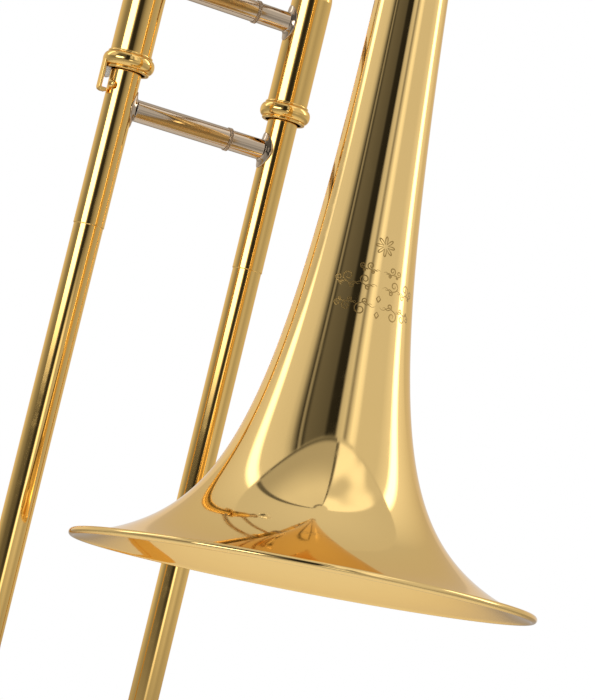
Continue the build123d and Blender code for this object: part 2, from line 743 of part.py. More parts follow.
sheet_start = horn_offset * ((1 - bead_radius / rim_radius) ** (-1 / horn_power) - 1)
sheet_span = (bell_length + horn_offset) / (sheet_start + horn_offset)
sheet_heights = [(sheet_start + horn_offset) * sheet_span ** (step / bell_points) - horn_offset
                 for step in range(bell_points + 1)]
bead_place = (rim_radius - bead_radius, bead_lift - rim_drop)
with BuildPart() as bell:
    with BuildSketch(bell_side):
        with BuildLine():
            outer_skin = Spline(*[bell_skin(height, 0) for height in sheet_heights])
            inner_skin = Spline(*[bell_skin(height, bell_wall) for height in sheet_heights])
            Line(outer_skin @ 0, inner_skin @ 0)
            Line(outer_skin @ 1, inner_skin @ 1)
        make_face()
        with Locations(bead_place):
            Circle(bead_radius)
            Circle(wire_radius + running_gap, mode=Mode.SUBTRACT)
    revolve(axis=Axis(bell_side.origin, bell_side.y_dir))
save(bell, "bell")

with BuildPart() as bell_rim_wire:
    with BuildSketch(bell_side):
        with Locations(bead_place):
            Circle(wire_radius)
    revolve(axis=Axis(bell_side.origin, bell_side.y_dir))
save(bell_rim_wire, "bell_rim_wire")

# ---- Neckpipe ----------------------------------------------------------------------

neck_top_bore = neck_outer_leg_radius + running_gap
neck_top_radius = neck_top_bore + neck_wall
neck_socket = pipe_top - leg_lap - rest_gap
bend_end = bell_point(0, neck_straight)
with BuildPart() as neckpipe:
    with BuildLine() as neck_path:
        FilletPolyline((0, 0, tenon_foot), (0, 0, neck_bend_level), bend_end, radius=neck_bend_radius)
    with BuildSketch(Plane((0, 0, tenon_foot))):
        Circle(neck_radius)
        Circle(inner_bore_radius, mode=Mode.SUBTRACT)
    sweep(path=neck_path.line)
    with BuildSketch(neck_side):
        with BuildLine():
            Polyline((inner_bore_radius, neck_straight), (neck_radius, neck_straight),
                     (neck_top_radius, neck_socket), (neck_top_radius, pipe_top),
                     (neck_top_bore, pipe_top), (neck_top_bore, neck_socket), close=True)
        make_face()
    revolve(axis=Axis(neck_side.origin, neck_side.y_dir))
save(neckpipe, "neckpipe")

tenon_outline = [
    (neck_radius + solder_gap, tenon_foot),
    (tenon_end_radius, tenon_foot),
    (tenon_mouth_radius, tenon_top),
    (tenon_mouth_radius + tenon_collar, tenon_top + solder_gap),
    (tenon_mouth_radius + tenon_collar, tenon_top + tenon_collar_height),
    (neck_radius + solder_gap, tenon_top + tenon_collar_height),
]
turned("neckpipe_tenon", n_side, tenon_outline)


def neck_outside(height):
    """The neckpipe's outer radius at a height above its bend."""
    share = (height - neck_straight) / (neck_socket - neck_straight)
    return neck_radius + (neck_top_radius - neck_radius) * share


def pipe_ferrule(label, side, pipe_radius, leg_radius):
    """A stepped ferrule over the joint of a pipe and the leg inside it."""
    half = pipe_ferrule_height / 2
    outside = pipe_radius + solder_gap + pipe_ferrule_wall
    outline = [
        (pipe_radius + solder_gap, pipe_top - half),
        (outside, pipe_top - half + pipe_ferrule_wall),
        (outside, pipe_top + half - pipe_ferrule_wall),
        (leg_radius + solder_gap + pipe_ferrule_wall / 2, pipe_top + half),
        (leg_radius + solder_gap, pipe_top + half),
        (leg_radius + solder_gap, pipe_top + solder_gap),
        (pipe_radius + solder_gap, pipe_top + solder_gap),
    ]
    turned(label, side, outline)


bell_ferrule_bore = bell_radius(bell_length - pipe_ferrule_height / 2)
pipe_ferrule("neck_ferrule", neck_side, neck_top_radius, neck_outer_leg_radius)
pipe_ferrule("bell_ferrule", bell_side, bell_ferrule_bore, bell_outer_leg_radius)

# Outer legs of the tuning slide, each with a band round its open end.
for name, foot, outer, bore in (
    ("neck", bell_frame, neck_outer_leg_radius, neck_outer_leg_bore),
    ("bell", bell_foot, bell_outer_leg_radius, bell_outer_leg_bore),
):
    tube(f"{name}_outer_leg", foot, outer_leg_foot, outer_leg_length, outer, bore)
    with BuildPart() as leg_band:
        with BuildSketch(foot.offset(outer_leg_top - leg_band_height)):
            Circle(outer + solder_gap + leg_band_wall)
            Circle(outer + solder_gap, mode=Mode.SUBTRACT)
        extrude(amount=leg_band_height)
        band_edges = leg_band.edges().filter_by(GeomType.CIRCLE).group_by(SortBy.RADIUS)[-1]
        fillet(band_edges, leg_band_wall * edge_easing)
    save(leg_band, f"{name}_leg_band")

# ---- Bell braces -------------------------------------------------------------------

for name, height in (("lower_brace", lower_brace_height), ("upper_brace", upper_brace_height)):
    half = flange_height / 2
    neck_low = neck_outside(max(height - half, neck_straight))
    neck_high = neck_outside(height + half)
    bell_low = bell_radius(height - half + rim_drop)
    bell_high = bell_radius(height + half + rim_drop)
    neck_reach = brace_reach(neck_low, neck_high)
    bell_reach = brace_reach(bell_low, bell_high)
    span = neck_to_bell - neck_reach - bell_reach
    brace_foot = Plane(bell_point(neck_reach, height), z_dir=bell_frame.x_dir)
    with BuildPart() as brace_flanges:
        add_flange(neck_side, height, neck_low, neck_high, bell_brace_radius)
        add_flange(bell_side, height, bell_low, bell_high, bell_brace_radius)
    save(brace_flanges, f"{name}_flanges")
    with BuildPart() as bell_brace:
        with BuildSketch(brace_foot):
            Circle(bell_brace_radius)
            Circle(bell_brace_radius - flange_wall, mode=Mode.SUBTRACT)
        extrude(amount=span)
        with BuildSketch(brace_foot.offset(span / 2 - brace_knuckle_length / 2)):
            Circle(brace_knuckle_radius)
            Circle(bell_brace_radius, mode=Mode.SUBTRACT)
        extrude(amount=brace_knuckle_length)
        knuckle = bell_brace.edges().filter_by(GeomType.CIRCLE).group_by(SortBy.RADIUS)[-1]
        fillet(knuckle, (brace_knuckle_radius - bell_brace_radius) * knuckle_easing)
    save(bell_brace, f"{name}_tube")

# ---- Lock nut ----------------------------------------------------------------------

nut_bore = receiver_radius + nut_thread_gap
nut_radius = nut_bore + nut_wall
nut_foot = receiver_top - nut_skirt
nut_inside_top = tenon_top + tenon_collar_height + rest_gap
nut_top = nut_inside_top + nut_web
nut_outline = [
    (nut_bore, nut_foot),
    (nut_radius, nut_foot),
    (nut_radius, nut_top - nut_wall),
    (nut_radius - nut_wall, nut_top),
    (neck_radius + rest_gap, nut_top),
    (neck_radius + rest_gap, nut_inside_top),
    (nut_bore, nut_inside_top),
]
with BuildPart() as lock_nut:
    with BuildSketch(n_side):
        with BuildLine():
            Polyline(*nut_outline, close=True)
        make_face()
    revolve(axis=Axis(n_side.origin, n_side.y_dir))
    with BuildSketch(Plane.XY.offset(nut_foot)):
        with PolarLocations(nut_radius, nut_grip_count):
            Circle(nut_grip_radius)
    extrude(amount=nut_skirt, mode=Mode.SUBTRACT)
save(lock_nut, "lock_nut")

# ---- Tuning slide ------------------------------------------------------------------


def tuning_section(angle):
    """The plane across the tuning bow at an angle round it, from the neck side."""
    turn = math.radians(angle)
    place = bell_point(tuning_sweep * (1 - math.cos(turn)), tuning_bow_level + tuning_sweep * math.sin(turn))
    along = bell_frame.x_dir * math.sin(turn) + bell_frame.z_dir * math.cos(turn)
    return Plane(place, x_dir=bell_frame.y_dir, z_dir=along)


def tuning_radius(angle):
    """The tuning bow's outer radius, widening evenly from neck to bell."""
    return neck_leg_radius + (bell_leg_radius - neck_leg_radius) * angle / 180


with BuildPart() as tuning_bow:
    for wall, mode in ((0, Mode.ADD), (leg_wall, Mode.SUBTRACT)):
        for angle in range(0, 181, tuning_bow_step):
            with BuildSketch(tuning_section(angle)):
                Circle(tuning_radius(angle) - wall)
        loft(mode=mode)
    for foot, radius in ((bell_frame, neck_leg_radius), (bell_foot, bell_leg_radius)):
        with BuildSketch(foot.offset(tuning_leg_top + solder_gap)):
            Circle(radius)
            Circle(radius - leg_wall, mode=Mode.SUBTRACT)
        extrude(amount=tuning_bow_level - tuning_leg_top - solder_gap)
save(tuning_bow, "tuning_bow")

for name, foot, radius in (("neck", bell_frame, neck_leg_radius), ("bell", bell_foot, bell_leg_radius)):
    leg_foot = tuning_leg_top - tuning_leg_length
    tube(f"tuning_leg_{name}", foot, leg_foot, tuning_leg_length, radius, radius - leg_wall)
    with BuildPart() as tuning_ferrule:
        with BuildSketch(foot.offset(tuning_ferrule_foot)):
            Circle(radius + solder_gap + tuning_ferrule_wall)
            Circle(radius + solder_gap, mode=Mode.SUBTRACT)
        extrude(amount=tuning_ferrule_height)
        ferrule_edges = tuning_ferrule.edges().filter_by(GeomType.CIRCLE).group_by(SortBy.RADIUS)[-1]
        fillet(ferrule_edges, tuning_ferrule_wall * edge_easing)
    save(tuning_ferrule, f"tuning_ferrule_{name}")

# A straight brace between the tuning slide's ferrules, hollowed to sit on them.
neck_seat = neck_leg_radius + tuning_ferrule_wall + 2 * solder_gap
bell_seat = bell_leg_radius + tuning_ferrule_wall + 2 * solder_gap
brace_height = tuning_ferrule_foot + tuning_ferrule_height / 2
with BuildPart() as tuning_brace:
    with BuildSketch(Plane(bell_point(0, brace_height), z_dir=bell_frame.x_dir)):
        Circle(tuning_brace_radius)
    extrude(amount=neck_to_bell)
    with BuildSketch(bell_frame.offset(tuning_ferrule_foot)):
        Circle(neck_seat)
        with Locations((neck_to_bell, 0)):
            Circle(bell_seat)
    extrude(amount=tuning_ferrule_height, mode=Mode.SUBTRACT)
save(tuning_brace, "tuning_brace")

with BuildPart() as tuning_bow_guard:
    for step in range(tuning_guard_sections):
        angle = 90 + tuning_guard_angle * (step / (tuning_guard_sections - 1) - 0.5)
        inside = tuning_radius(angle) + running_gap
        edge = tuning_guard_spread
        with BuildSketch(tuning_section(angle)):
            with BuildLine():
                inner_arc = CenterArc((0, 0), inside, 90 - edge, 2 * edge)
                outer_arc = CenterArc((0, 0), inside + tuning_guard_wall, 90 - edge, 2 * edge)
                Line(inner_arc @ 0, outer_arc @ 0)
                Line(inner_arc @ 1, outer_arc @ 1)
            make_face()
    loft()
save(tuning_bow_guard, "tuning_bow_guard")
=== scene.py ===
import math

import bmesh
import bpy
from mathutils import Matrix, Vector


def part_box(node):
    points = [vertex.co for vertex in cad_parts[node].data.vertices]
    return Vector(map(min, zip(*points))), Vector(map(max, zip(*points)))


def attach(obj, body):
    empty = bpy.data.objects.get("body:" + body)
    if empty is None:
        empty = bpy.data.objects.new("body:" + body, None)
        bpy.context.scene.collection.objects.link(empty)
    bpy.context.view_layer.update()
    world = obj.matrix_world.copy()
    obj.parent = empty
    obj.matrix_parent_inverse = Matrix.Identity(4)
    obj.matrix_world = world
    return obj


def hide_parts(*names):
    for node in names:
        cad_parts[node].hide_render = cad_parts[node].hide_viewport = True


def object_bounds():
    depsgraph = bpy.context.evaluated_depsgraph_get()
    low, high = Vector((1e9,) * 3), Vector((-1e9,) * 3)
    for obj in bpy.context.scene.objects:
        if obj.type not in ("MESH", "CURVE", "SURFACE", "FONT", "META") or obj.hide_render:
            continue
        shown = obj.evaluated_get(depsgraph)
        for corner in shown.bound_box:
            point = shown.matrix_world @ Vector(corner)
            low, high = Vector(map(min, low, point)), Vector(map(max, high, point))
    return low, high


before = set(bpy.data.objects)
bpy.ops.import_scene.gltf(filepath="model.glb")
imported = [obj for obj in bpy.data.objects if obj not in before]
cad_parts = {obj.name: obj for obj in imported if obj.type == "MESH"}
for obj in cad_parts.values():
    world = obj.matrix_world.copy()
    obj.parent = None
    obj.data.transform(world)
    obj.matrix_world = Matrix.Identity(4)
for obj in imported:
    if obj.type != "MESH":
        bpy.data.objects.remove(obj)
cad_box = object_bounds()

# ---- Bell sheet --------------------------------------------------------------------
# The bell is one sheet of yellow brass, hammered and spun to a horn curve, rolled over
# a wire at its rim, polished and sprayed with clear lacquer.

mm = 0.001
neck_bend_level = -14.0
bell_cant = math.radians(6.0)
neck_to_bell = 106.2
rim_level = -329.3
rim_radius = 102.0
horn_offset = 18.81
horn_power = 0.6765
bell_wall = 0.5
bell_length = 515.0
skin_start = 0.92
bead_radius = 1.65
bead_lift = 1.3
bead_start = math.radians(195)
bead_end = math.radians(-142)
bead_steps = 28
skin_steps = 110
bell_turns = 256


def stand(origin, outward, up):
    """A piece's own frame: z along its axis, x towards its neighbour, origin in mm."""
    x = Vector(outward).normalized()
    z = Vector(up).normalized()
    y = z.cross(x)
    axes = Matrix((x, y, z)).transposed().to_4x4()
    return Matrix.Translation(Vector(origin) * mm) @ axes


canted = Matrix.Rotation(-bell_cant, 3, "X")
bell_up = canted @ Vector((0, 0, 1))
across = canted @ Vector((0, -1, 0))
bend = Vector((0, 0, neck_bend_level))
bell_axis = stand(bend + across * neck_to_bell, -across, bell_up)


def bell_radius(height):
    """The bell's outer radius at a height above its rim."""
    return rim_radius * (1 + height / horn_offset) ** -horn_power


def bell_skin(height, depth):
    """Radius and level of the bell's sheet, a given depth under its outer face."""
    radius = bell_radius(height)
    slope = -horn_power * radius / (height + horn_offset)
    lean = math.hypot(1, slope)
    return radius - depth / lean, height + rim_level + depth * slope / lean


class Shade:
    """A socket in a finish's node tree. Arithmetic on it adds Math nodes."""

    def __init__(self, tree, socket=None):
        self.tree = tree
        self.socket = socket

    def node(self, kind, settings, sockets, out=0):
        """Add any node: its settings first, then the values or links of its sockets."""
        made = self.tree.nodes.new(kind)
        for name, value in settings.items():
            if name != "stops":
                setattr(made, name, value)
                continue
            ramp = made.color_ramp
            ramp.elements[1].position = value[-1][0]
            ramp.elements[0].position = value[0][0]
            for place, _ in value[1:-1]:
                ramp.elements.new(place)
            for stop, (_, colour) in zip(ramp.elements, value):
                stop.color = (*colour, 1)
        for name, value in sockets.items():
            if isinstance(value, Shade):
                self.tree.links.new(value.socket, made.inputs[name])
            else:
                made.inputs[name].default_value = value
        return Shade(self.tree, made.outputs[out])

    def math(self, operation, first, second=0.0):
        return self.node("ShaderNodeMath", {"operation": operation}, {0: first, 1: second})

    def __add__(self, other):
        return self.math("ADD", self, other)

    def __sub__(self, other):
        return self.math("SUBTRACT", self, other)

    def __rsub__(self, other):
        return self.math("SUBTRACT", other, self)

    def __mul__(self, other):
        return self.math("MULTIPLY", self, other)

    def __truediv__(self, other):
        return self.math("DIVIDE", self, other)

    __radd__ = __add__
    __rmul__ = __mul__


def blank_finish(name):
    """A new finish with its shader, its output wire and its place on the object in metres."""
    made = bpy.data.materials.new(name)
    made.use_nodes = True
    tree = made.node_tree
    shader = tree.nodes["Principled BSDF"]
    start = Shade(tree)
    place = start.node("ShaderNodeTexCoord", {}, {}, "Object")
    return made, shader, start, place


def into(shader, socket, wire):
    wire.tree.links.new(wire.socket, shader.inputs[socket])


def polished(name, colour, deep, rough, haze, lacquer, grain=0.03, streak=(1, 1, 0.02)):
    """A polished metal: slow colour drift, hazy handling marks, fine buffing lines."""
    made, shader, start, place = blank_finish(name)
    shader.inputs["Metallic"].default_value = 1.0
    shader.inputs["Coat Roughness"].default_value = 0.04
    shader.inputs["Coat IOR"].default_value = 1.48
    shader.inputs["Specular Tint"].default_value = (*[0.35 + 0.65 * part for part in colour], 1)
    drift = start.node("ShaderNodeTexNoise", {}, {"Vector": place, "Scale": 14.0, "Detail": 3.0})
    marks = start.node("ShaderNodeTexNoise", {}, {"Vector": place, "Scale": 90.0, "Detail": 5.0})
    stretched = start.node("ShaderNodeMapping", {}, {"Vector": place, "Scale": streak})
    buffing = start.node("ShaderNodeTexNoise", {},
                         {"Vector": stretched, "Scale": 2600.0, "Detail": 2.0})
    pits = start.node("ShaderNodeTexVoronoi", {"feature": "F1"},
                      {"Vector": place, "Scale": 620.0, "Randomness": 1.0})
    speck = start.node("ShaderNodeMapRange", {"interpolation_type": "SMOOTHSTEP"},
                       {"Value": pits, "From Min": 0.02, "From Max": 0.09,
                        "To Min": 1.0, "To Max": 0.0})
    smear = start.node("ShaderNodeMapRange", {"interpolation_type": "SMOOTHSTEP"},
                       {"Value": marks, "From Min": 0.52, "From Max": 0.74})
    tone = start.node("ShaderNodeMix", {"data_type": "RGBA"},
                      {0: drift * 0.8 + speck * 0.25, 6: (*colour, 1), 7: (*deep, 1)}, 2)
    into(shader, "Base Color", tone)
    into(shader, "Roughness", smear * haze + buffing * (haze * 0.4) + speck * 0.05 + rough)
    if lacquer:
        into(shader, "Coat Weight", drift * 0.15 + lacquer)
    relief = start.node("ShaderNodeBump", {},
                        {"Height": buffing * 0.6 + marks * 0.4, "Strength": grain, "Distance": 4e-6})
    into(shader, "Normal", relief)
    return made


def piece(name, body, slot, finish, points, faces, *nodes):
    """A finished piece from points in metres, fixed to its body in place of its nodes."""
    mesh = bpy.data.meshes.new(name)
    mesh.from_pydata([tuple(point) for point in points], [], faces)
    shell = bmesh.new()
    shell.from_mesh(mesh)
    bmesh.ops.remove_doubles(shell, verts=shell.verts, dist=1e-7)
    bmesh.ops.recalc_face_normals(shell, faces=shell.faces)
    shell.to_mesh(mesh)
    shell.free()
    mesh.polygons.foreach_set("use_smooth", [True] * len(mesh.polygons))
    mesh.materials.append(finish)
    made = bpy.data.objects.new(name, mesh)
    bpy.context.scene.collection.objects.link(made)
    made.modifiers.new("even_faces", "WEIGHTED_NORMAL")
    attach(made, body)
    if nodes:
        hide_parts(*nodes)
    return made


def turning(outline, axis, turns):
    """Points and faces of a closed outline of (radius, height) turned about an axis."""
    points = []
    for radius, height in outline:
        for turn in range(turns):
            angle = 2 * math.pi * turn / turns
            local = Vector((radius * math.cos(angle), radius * math.sin(angle), height))
            points.append(axis @ (local * mm))
    faces = []
    for row in range(len(outline)):
        after = (row + 1) % len(outline)
        for turn in range(turns):
            beside = (turn + 1) % turns
            faces.append((row * turns + turn, row * turns + beside,
                          after * turns + beside, after * turns + turn))
    return points, faces


bell_brass = polished("bell_lacquered_brass", (0.92, 0.645, 0.265), (0.88, 0.60, 0.215),
                      0.045, 0.05, 0.12)

skin_span = (bell_length + horn_offset) / (skin_start + horn_offset)
skin_heights = [(skin_start + horn_offset) * skin_span ** (step / skin_steps) - horn_offset
                for step in range(skin_steps + 1)]
bell_outline = [bell_skin(height, 0) for height in reversed(skin_heights)]
for step in range(1, bead_steps):
    angle = bead_start + (bead_end - bead_start) * step / bead_steps
    bell_outline.append((rim_radius - bead_radius + bead_radius * math.cos(angle),
                         rim_level + bead_lift + bead_radius * math.sin(angle)))
bell_outline += [bell_skin(height, bell_wall) for height in skin_heights]
bell_points, bell_faces = turning(bell_outline, bell_axis, bell_turns)
piece("bell_sheet", "bell_section", "lacquered_brass", bell_brass, bell_points, bell_faces, "bell")

# ---- Engraving on the bell ---------------------------------------------------------
# Ornament is cut into the stem by hand before lacquering. This one is plain scrollwork:
# three rows of curls with small lozenges, under an eight-petalled flower.

engraving_height = 131.0
engraving_bearing = math.radians(21)
line_half_width = 0.27
line_proud = 0.03
stem_steps = 12
curl_steps = 44
curl_turns = 1.4
petals = 8
petal_spread = 0.62
rosette_level = 15.0
fine_steps = 3
scroll_rows = [
    (-12.0, -1, ((0.8, 5.4), (8.4, 4.2), (14.2, 2.8))),
    (-3.5, 1, ((1.2, 4.6), (7.6, 5.2), (14.4, 3.2))),
    (3.5, 1, ((0.8, 3.4), (5.4, 2.6))),
]

# The lines are slightly raised ribbons. Their dark brown colour is painted shade that stands in for the
# shadow inside real cut grooves, and a fine noise varies that painted shade along the lines.
engraving_painted_shade, cut_shader, cut_start, cut_place = blank_finish("engraved_line_painted_shade")
cut_shader.inputs["Metallic"].default_value = 1.0
groove_shade_noise = cut_start.node("ShaderNodeTexNoise", {}, {"Vector": cut_place, "Scale": 1800.0})
painted_groove_shade = cut_start.node("ShaderNodeMix", {"data_type": "RGBA"},
                          {0: groove_shade_noise, 6: (0.55, 0.36, 0.12, 1), 7: (0.26, 0.16, 0.05, 1)}, 2)
into(cut_shader, "Base Color", painted_groove_shade)
into(cut_shader, "Roughness", groove_shade_noise * 0.2 + 0.25)


def curl(side, row, start, size):
    """A stem that runs out from the middle and winds into a curl, in mm on the sheet."""
    length = size * 1.3
    run = [(length * step / stem_steps, 0.16 * size * math.sin(2 * math.pi * step / stem_steps))
           for step in range(stem_steps)]
    for step in range(curl_steps + 1):
        share = step / curl_steps
        winding = share * curl_turns * 2 * math.pi - math.pi / 2
        reach = size * (0.5 - 0.42 * share)
        run.append((length + reach * math.cos(winding), size * 0.5 + reach * math.sin(winding)))
    return [(side * (start + x), row * y) for x, y in run]


def ornament_lines():
    """All of the ornament's lines, as lists of (around, along) in mm."""
    lines = []
    for level, lean, curls in scroll_rows:
        for side in (-1, 1):
            for start, size in curls:
                stem = curl(side, lean, start, size)
                lines.append([(x, y + level) for x, y in stem])
                twig = curl(side, -lean, start + size * 0.3, size * 0.5)
                lines.append([(x, y + level) for x, y in twig])
    for petal in range(petals):
        turn = 2 * math.pi * petal / petals
        loop = []
        for step in range(17):
            share = step / 16
            reach = 1.0 + 3.4 * math.sin(math.pi * share)
            sway = turn + (share - 0.5) * petal_spread
            loop.append((reach * math.cos(sway), rosette_level + reach * math.sin(sway)))
        lines.append(loop)
    for height in (-8.6, -15.8):
        lines.append([(0, height + 1.5), (1.0, height), (0, height - 1.5), (-1.0, height),
                      (0, height + 1.5)])
    return lines


view_bearing = math.radians(24.466)
facing = Vector((-math.sin(view_bearing), -math.cos(view_bearing), 0))
facing_local = bell_axis.to_3x3().transposed() @ facing
front_angle = math.atan2(facing_local.y, facing_local.x) + engraving_bearing
engraved_points = []
engraved_faces = []
for line in ornament_lines():
    fine = []
    for (x0, y0), (x1, y1) in zip(line, line[1:]):
        for step in range(fine_steps):
            share = step / fine_steps
            fine.append((x0 + (x1 - x0) * share, y0 + (y1 - y0) * share))
    fine.append(line[-1])
    base = len(engraved_points)
    for index, (x, y) in enumerate(fine):
        near = fine[min(index + 1, len(fine) - 1)]
        far = fine[max(index - 1, 0)]
        along = Vector((near[0] - far[0], near[1] - far[1])).normalized()
        taper = math.sin(math.pi * (index + 0.6) / (len(fine) + 0.2)) ** 0.5
        for offset in (-1, 0, 1):
            u = x - along.y * offset * line_half_width * taper
            v = y + along.x * offset * line_half_width * taper
            proud = line_proud if offset == 0 else line_proud * 0.3
            radius, level = bell_skin(engraving_height + v, -proud)
            angle = front_angle + u / radius
            local = Vector((radius * math.cos(angle), radius * math.sin(angle), level))
            engraved_points.append(bell_axis @ (local * mm))
    for index in range(len(fine) - 1):
        for offset in range(2):
            corner = base + index * 3 + offset
            engraved_faces.append((corner, corner + 1, corner + 4, corner + 3))
piece("bell_engraving", "bell_section", "lacquered_brass", engraving_painted_shade, engraved_points, engraved_faces)

# ---- Bell pipes, ferrules and rim wire ---------------------------------------------
# The bell's stem and the neckpipe each hold an outer tuning leg. Nickel silver
# ferrules cover the joints and bands strengthen the legs' open ends.

slide_brass = polished("slide_lacquered_brass", (0.92, 0.605, 0.20), (0.88, 0.55, 0.155),
                       0.05, 0.05, 0.15)
nickel = polished("polished_nickel_silver", (0.60, 0.48, 0.355), (0.52, 0.40, 0.28),
                  0.07, 0.09, 0.25)
raw_brass = polished("bare_brass", (0.78, 0.55, 0.25), (0.62, 0.42, 0.18), 0.22, 0.12, 0.0)


def eased(corners):
    """Corners of (radius, height, easing) with each corner rounded off by its easing."""
    smooth = []
    count = len(corners)
    for index, (radius, height, easing) in enumerate(corners):
        here = Vector((radius, height))
        before = Vector(corners[index - 1][:2]) - here
        after = Vector(corners[(index + 1) % count][:2]) - here
        cut = min(easing, before.length * 0.48, after.length * 0.48)
        if cut <= 0:
            smooth.append((radius, height))
            continue
        start = here + before.normalized() * cut
        end = here + after.normalized() * cut
        for step in range(7):
            share = step / 6
            spot = start.lerp(here, share).lerp(here.lerp(end, share), share)
            smooth.append((spot.x, spot.y))
    return smooth


def turned(name, corners, axis, body, slot, finish, *nodes):
    """A turned piece with eased edges, in place of its nodes."""
    points, faces = turning(eased(corners), axis, 128)
    return piece(name, body, slot, finish, points, faces, *nodes)


def repaint(finish, *nodes):
    """Give a CAD part its real finish."""
    for node in nodes:
        for material_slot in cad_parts[node].material_slots:
            material_slot.material = finish


repaint(slide_brass, "neckpipe", "neck_outer_leg", "bell_outer_leg")
repaint(raw_brass, "bell_rim_wire")
repaint(nickel, "neck_ferrule", "bell_ferrule", "neck_leg_band", "bell_leg_band", "neckpipe_tenon")

# ---- Slide axes, barrels and their rings -------------------------------------------
# The two inner slide tubes hang from cork barrels. Each barrel's open end carries a
# ring with a round bead; the mouthpiece side's ring turns and is the slide lock.

m_low, m_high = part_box("cork_barrel_m")
slide_spacing = 85.0
m_axis = stand((-slide_spacing, 0, 0), (1, 0, 0), (0, 0, 1))
n_axis = stand((0, 0, 0), (-1, 0, 0), (0, 0, 1))
barrel_radius = 10.0
barrel_bore = 9.1
barrel_foot = m_low.z / mm
barrel_top = m_high.z / mm
barrel_shoulder = 4.0
ring_level = -113.6
ring_half = 4.5
bead_half = 3.25
ring_bead_steps = 22
bead_reach = 2.6
collar_reach = 1.1
collar_groove = 0.45
collar_edge = 0.35
collar_waist = 0.2
collar_lip = 0.7
barrel_cap_bore = 6.7

barrel_corners = [
    (barrel_bore, barrel_foot, 0.1), (barrel_radius, barrel_foot, 0.1),
    (barrel_radius, barrel_top - barrel_shoulder, 3.0), (barrel_radius - 0.9, barrel_top, 0.4),
    (barrel_cap_bore, barrel_top, 0.0), (barrel_cap_bore, barrel_top - barrel_shoulder, 0.0),
    (barrel_bore, barrel_top - barrel_shoulder, 0.0),
]


def ring_corners(bore):
    """A barrel ring's outline: collar, groove, round bead, groove, collar."""
    collar = barrel_radius + collar_reach
    low = ring_level - ring_half
    high = ring_level + ring_half
    groove = collar - collar_groove
    corners = [(bore, high, 0.1), (bore, low, 0.1), (collar - collar_edge, low, 0.35),
               (collar - collar_waist, low + collar_lip, 0.3),
               (groove, ring_level - bead_half - 0.05, 0.1)]
    for step in range(ring_bead_steps + 1):
        angle = math.pi * (step / ring_bead_steps - 0.5)
        corners.append((groove + (bead_reach - collar_reach + collar_groove) * math.cos(angle),
                        ring_level + bead_half * math.sin(angle), 0.0))
    corners += [(groove, ring_level + bead_half + 0.05, 0.1),
                (collar - collar_waist, high - collar_lip, 0.3), (collar - collar_edge, high, 0.35)]
    return corners


for letter, axis in (("m", m_axis), ("n", n_axis)):
    turned(f"barrel_{letter}", barrel_corners, axis, "inner_slide", "lacquered_brass", slide_brass,
           f"cork_barrel_{letter}")
turned("barrel_bead_ring_n", ring_corners(barrel_radius + 0.02), n_axis, "inner_slide",
       "lacquered_brass", slide_brass, "barrel_ring_n")

# ---- Braces ------------------------------------------------------------------------
# Tubes of nickel silver bridge the slide tubes and the bell section. Each end sits in
# a leaf-shaped flange, soft-soldered on, and a beaded ring covers the slide braces' joint.

flange_half_height = 9.0
flange_half_width = 6.25
flange_rings = 16
flange_turns = 120
sole_rings = 4
sole_gap = 0.02
leaf_edge = 0.30
leaf_crown = 0.35
leaf_inset = 0.15
leaf_rise = 1.1
leaf_rise_fade = 0.75


def leaf(axis, level, radius_at, brace_radius):
    """Points and faces of a leaf flange on a tube whose radius varies along its axis."""
    points = []
    faces = []
    inner_reach = brace_radius - leaf_inset
    for ring in range(flange_rings + sole_rings):
        for turn in range(flange_turns):
            angle = 2 * math.pi * turn / flange_turns
            edge = 1 / math.hypot(math.cos(angle) / flange_half_height,
                                  math.sin(angle) / flange_half_width)
            if ring < flange_rings:
                share = ring / (flange_rings - 1)
                reach = inner_reach + (edge - inner_reach) * share
                dome = leaf_edge + leaf_crown * (1 - share ** 4) ** 0.5
                rise = leaf_rise * math.exp(-(reach - inner_reach) / leaf_rise_fade)
            else:
                share = (ring - flange_rings) / (sole_rings - 1)
                reach = edge + (inner_reach - edge) * share
                dome = sole_gap
                rise = 0.0
            up = reach * math.cos(angle)
            side = reach * math.sin(angle)
            skin = radius_at(level + up) + dome
            out = math.sqrt(max(skin * skin - side * side, 0.0)) + rise
            points.append(axis @ (Vector((out, side, level + up)) * mm))
    rows = flange_rings + sole_rings
    for row in range(rows):
        after = (row + 1) % rows
        for turn in range(flange_turns):
            beside = (turn + 1) % flange_turns
            faces.append((row * flange_turns + turn, row * flange_turns + beside,
                          after * flange_turns + beside, after * flange_turns + turn))
    return points, faces


def leaf_pair(name, body, node, ends):
    """The two flanges of a brace as one piece."""
    points = []
    faces = []
    for axis, level, radius_at, brace_radius in ends:
        more, around = leaf(axis, level, radius_at, brace_radius)
        faces += [tuple(corner + len(points) for corner in face) for face in around]
        points += more
    return piece(name, body, "nickel_silver", nickel, points, faces, node)


def beads(axis, level, reach, size, count):
    """Points and faces of a row of small half-sunk balls round a ring."""
    points = []
    faces = []
    for number in range(count):
        turn = 2 * math.pi * number / count
        centre = Vector((reach * math.cos(turn), reach * math.sin(turn), level))
        ball = bmesh.new()
        bmesh.ops.create_icosphere(ball, subdivisions=2, radius=size)
        base = len(points)
        points += [axis @ ((centre + vertex.co) * mm) for vertex in ball.verts]
        faces += [tuple(base + vertex.index for vertex in face.verts) for face in ball.faces]
        ball.free()
    return points, faces


slide_brace_radius = 5.35
sleeve_radius = 5.1
brace_wall = 0.8
ring_width = 1.8
ring_proud = 0.45
joint_share = 0.72
flange_sheet = 0.8
solder_gap = 0.02
ring_rib = 0.45
ring_groove = 0.4
pearl_radius = 0.36
pearls_round = 52


